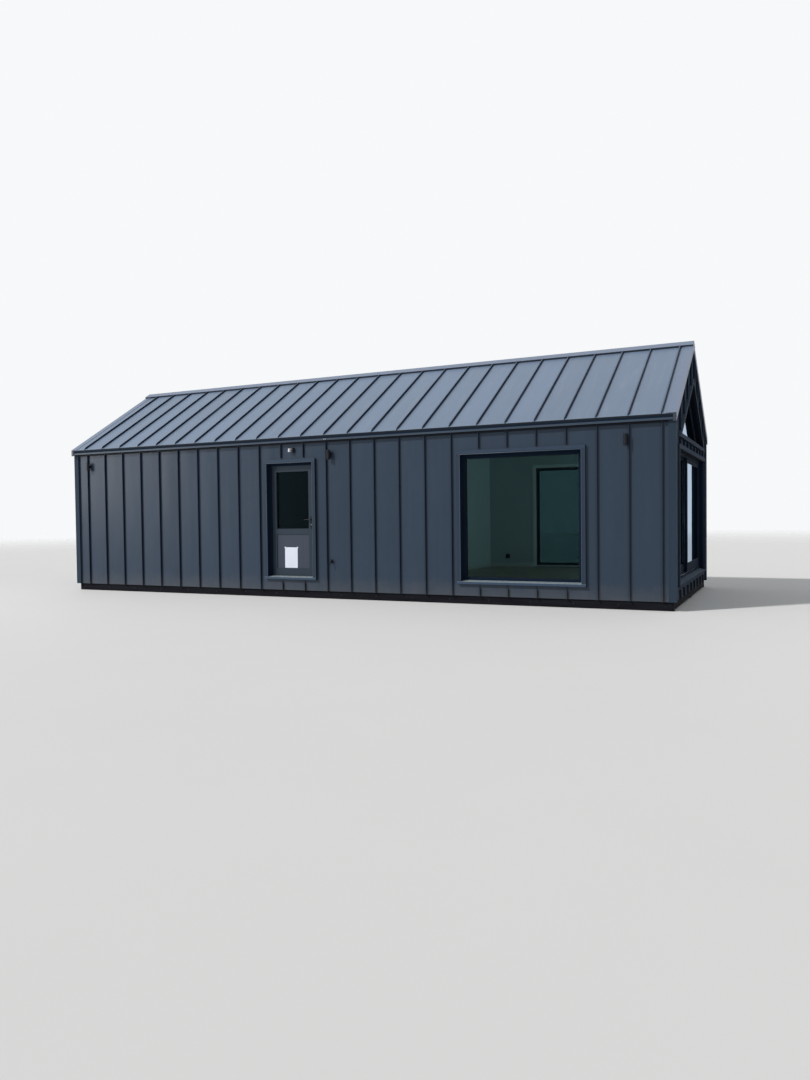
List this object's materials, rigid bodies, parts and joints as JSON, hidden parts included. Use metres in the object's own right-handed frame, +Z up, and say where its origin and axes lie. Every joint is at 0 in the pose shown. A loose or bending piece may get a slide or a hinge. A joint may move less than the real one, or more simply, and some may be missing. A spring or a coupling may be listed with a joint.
{
  "type": "tiny house",
  "caption": "Long one-room house with dark standing-seam walls and roof, a half-glazed entrance door, facing windows and a glazed gable with a sliding patio door",
  "frame": {"origin": "middle of the base's underside, on the floor the house stands on", "axes": "+X along the house toward the glazed gable, -Y toward the side with the entrance door, +Z up"},
  "size_m": [12.614, 4.859, 4.5724],
  "materials": {
    "sheet_dark": "folded standing-seam sheet, dark blue-grey coil paint, satin",
    "roof_sheet": "folded standing-seam roof sheet, dark blue-grey, satin",
    "trim": "folded trim sheet, blue-grey, satin",
    "frame_dark": "powder-coated window and door frames, anthracite",
    "door_paint": "powder-coated door leaf, blue-grey",
    "glass": "clear double glazing with a faint green tint",
    "wall_panel": "insulated wall and roof panels, pale matt lining",
    "partition": "painted board, off-white",
    "timber": "structural timber, planed",
    "floor_boards": "pale wood floor boards, matt lacquer",
    "fittings_black": "black powder coat, satin",
    "steel_bare": "bare steel track and wheels",
    "lamp_pale": "satin aluminium"
  },
  "bodies": {
    "house": {"base_rails": "timber", "base_cross_members": "timber", "floor_cassette": "timber", "floor_boards": "floor_boards", "front_walls": "wall_panel", "back_walls": "wall_panel", "wall_heads": "wall_panel", "wall_sills": "wall_panel", "left_gable_wall": "wall_panel", "right_gable_piers": "wall_panel", "right_gable_lintel": "wall_panel", "right_gable_tops": "wall_panel", "partition": "partition", "roof_panel_front": "wall_panel", "roof_panel_back": "wall_panel", "roof_sheet_front": "roof_sheet", "roof_sheet_back": "roof_sheet", "ridge_cap": "trim", "eaves_trims": "trim", "verge_trims": "trim", "corner_trims": "trim", "cladding_front": "sheet_dark", "cladding_back": "sheet_dark", "cladding_left": "sheet_dark", "cladding_right": "sheet_dark", "window_surrounds": "trim", "window_frames": "frame_dark", "window_glass": "glass", "gable_window_surround": "trim", "gable_window_frame": "frame_dark", "gable_window_glass": "glass", "patio_surround": "trim", "patio_frame": "frame_dark", "patio_track": "steel_bare", "patio_fixed_leaf": "frame_dark", "patio_fixed_glass": "glass", "door_surround": "trim", "door_frame": "frame_dark", "frame_hinges": "fittings_black", "wall_lamps": "fittings_black", "door_lamp": "lamp_pale", "outside_tap": "fittings_black"},
    "entrance_door": {"door_leaf": "door_paint", "door_panel": "door_paint", "door_glass": "glass", "door_lever": "fittings_black", "door_hinges": "fittings_black"},
    "patio_slider": {"patio_sliding_leaf": "frame_dark", "patio_sliding_glass": "glass", "patio_wheels": "steel_bare", "patio_lever": "fittings_black"}
  },
  "joints": [
    {"name": "entrance_door_hinge", "type": "hinge", "parent": "house", "child": "entrance_door", "pos_m": [-1.186, -2.178, 0], "axis": [0, 0, 1], "range_deg": [0, 90]},
    {"name": "patio_slide", "type": "slide", "parent": "house", "child": "patio_slider", "axis": [0, -1, 0], "range_m": [0, 1.78]}
  ]
}
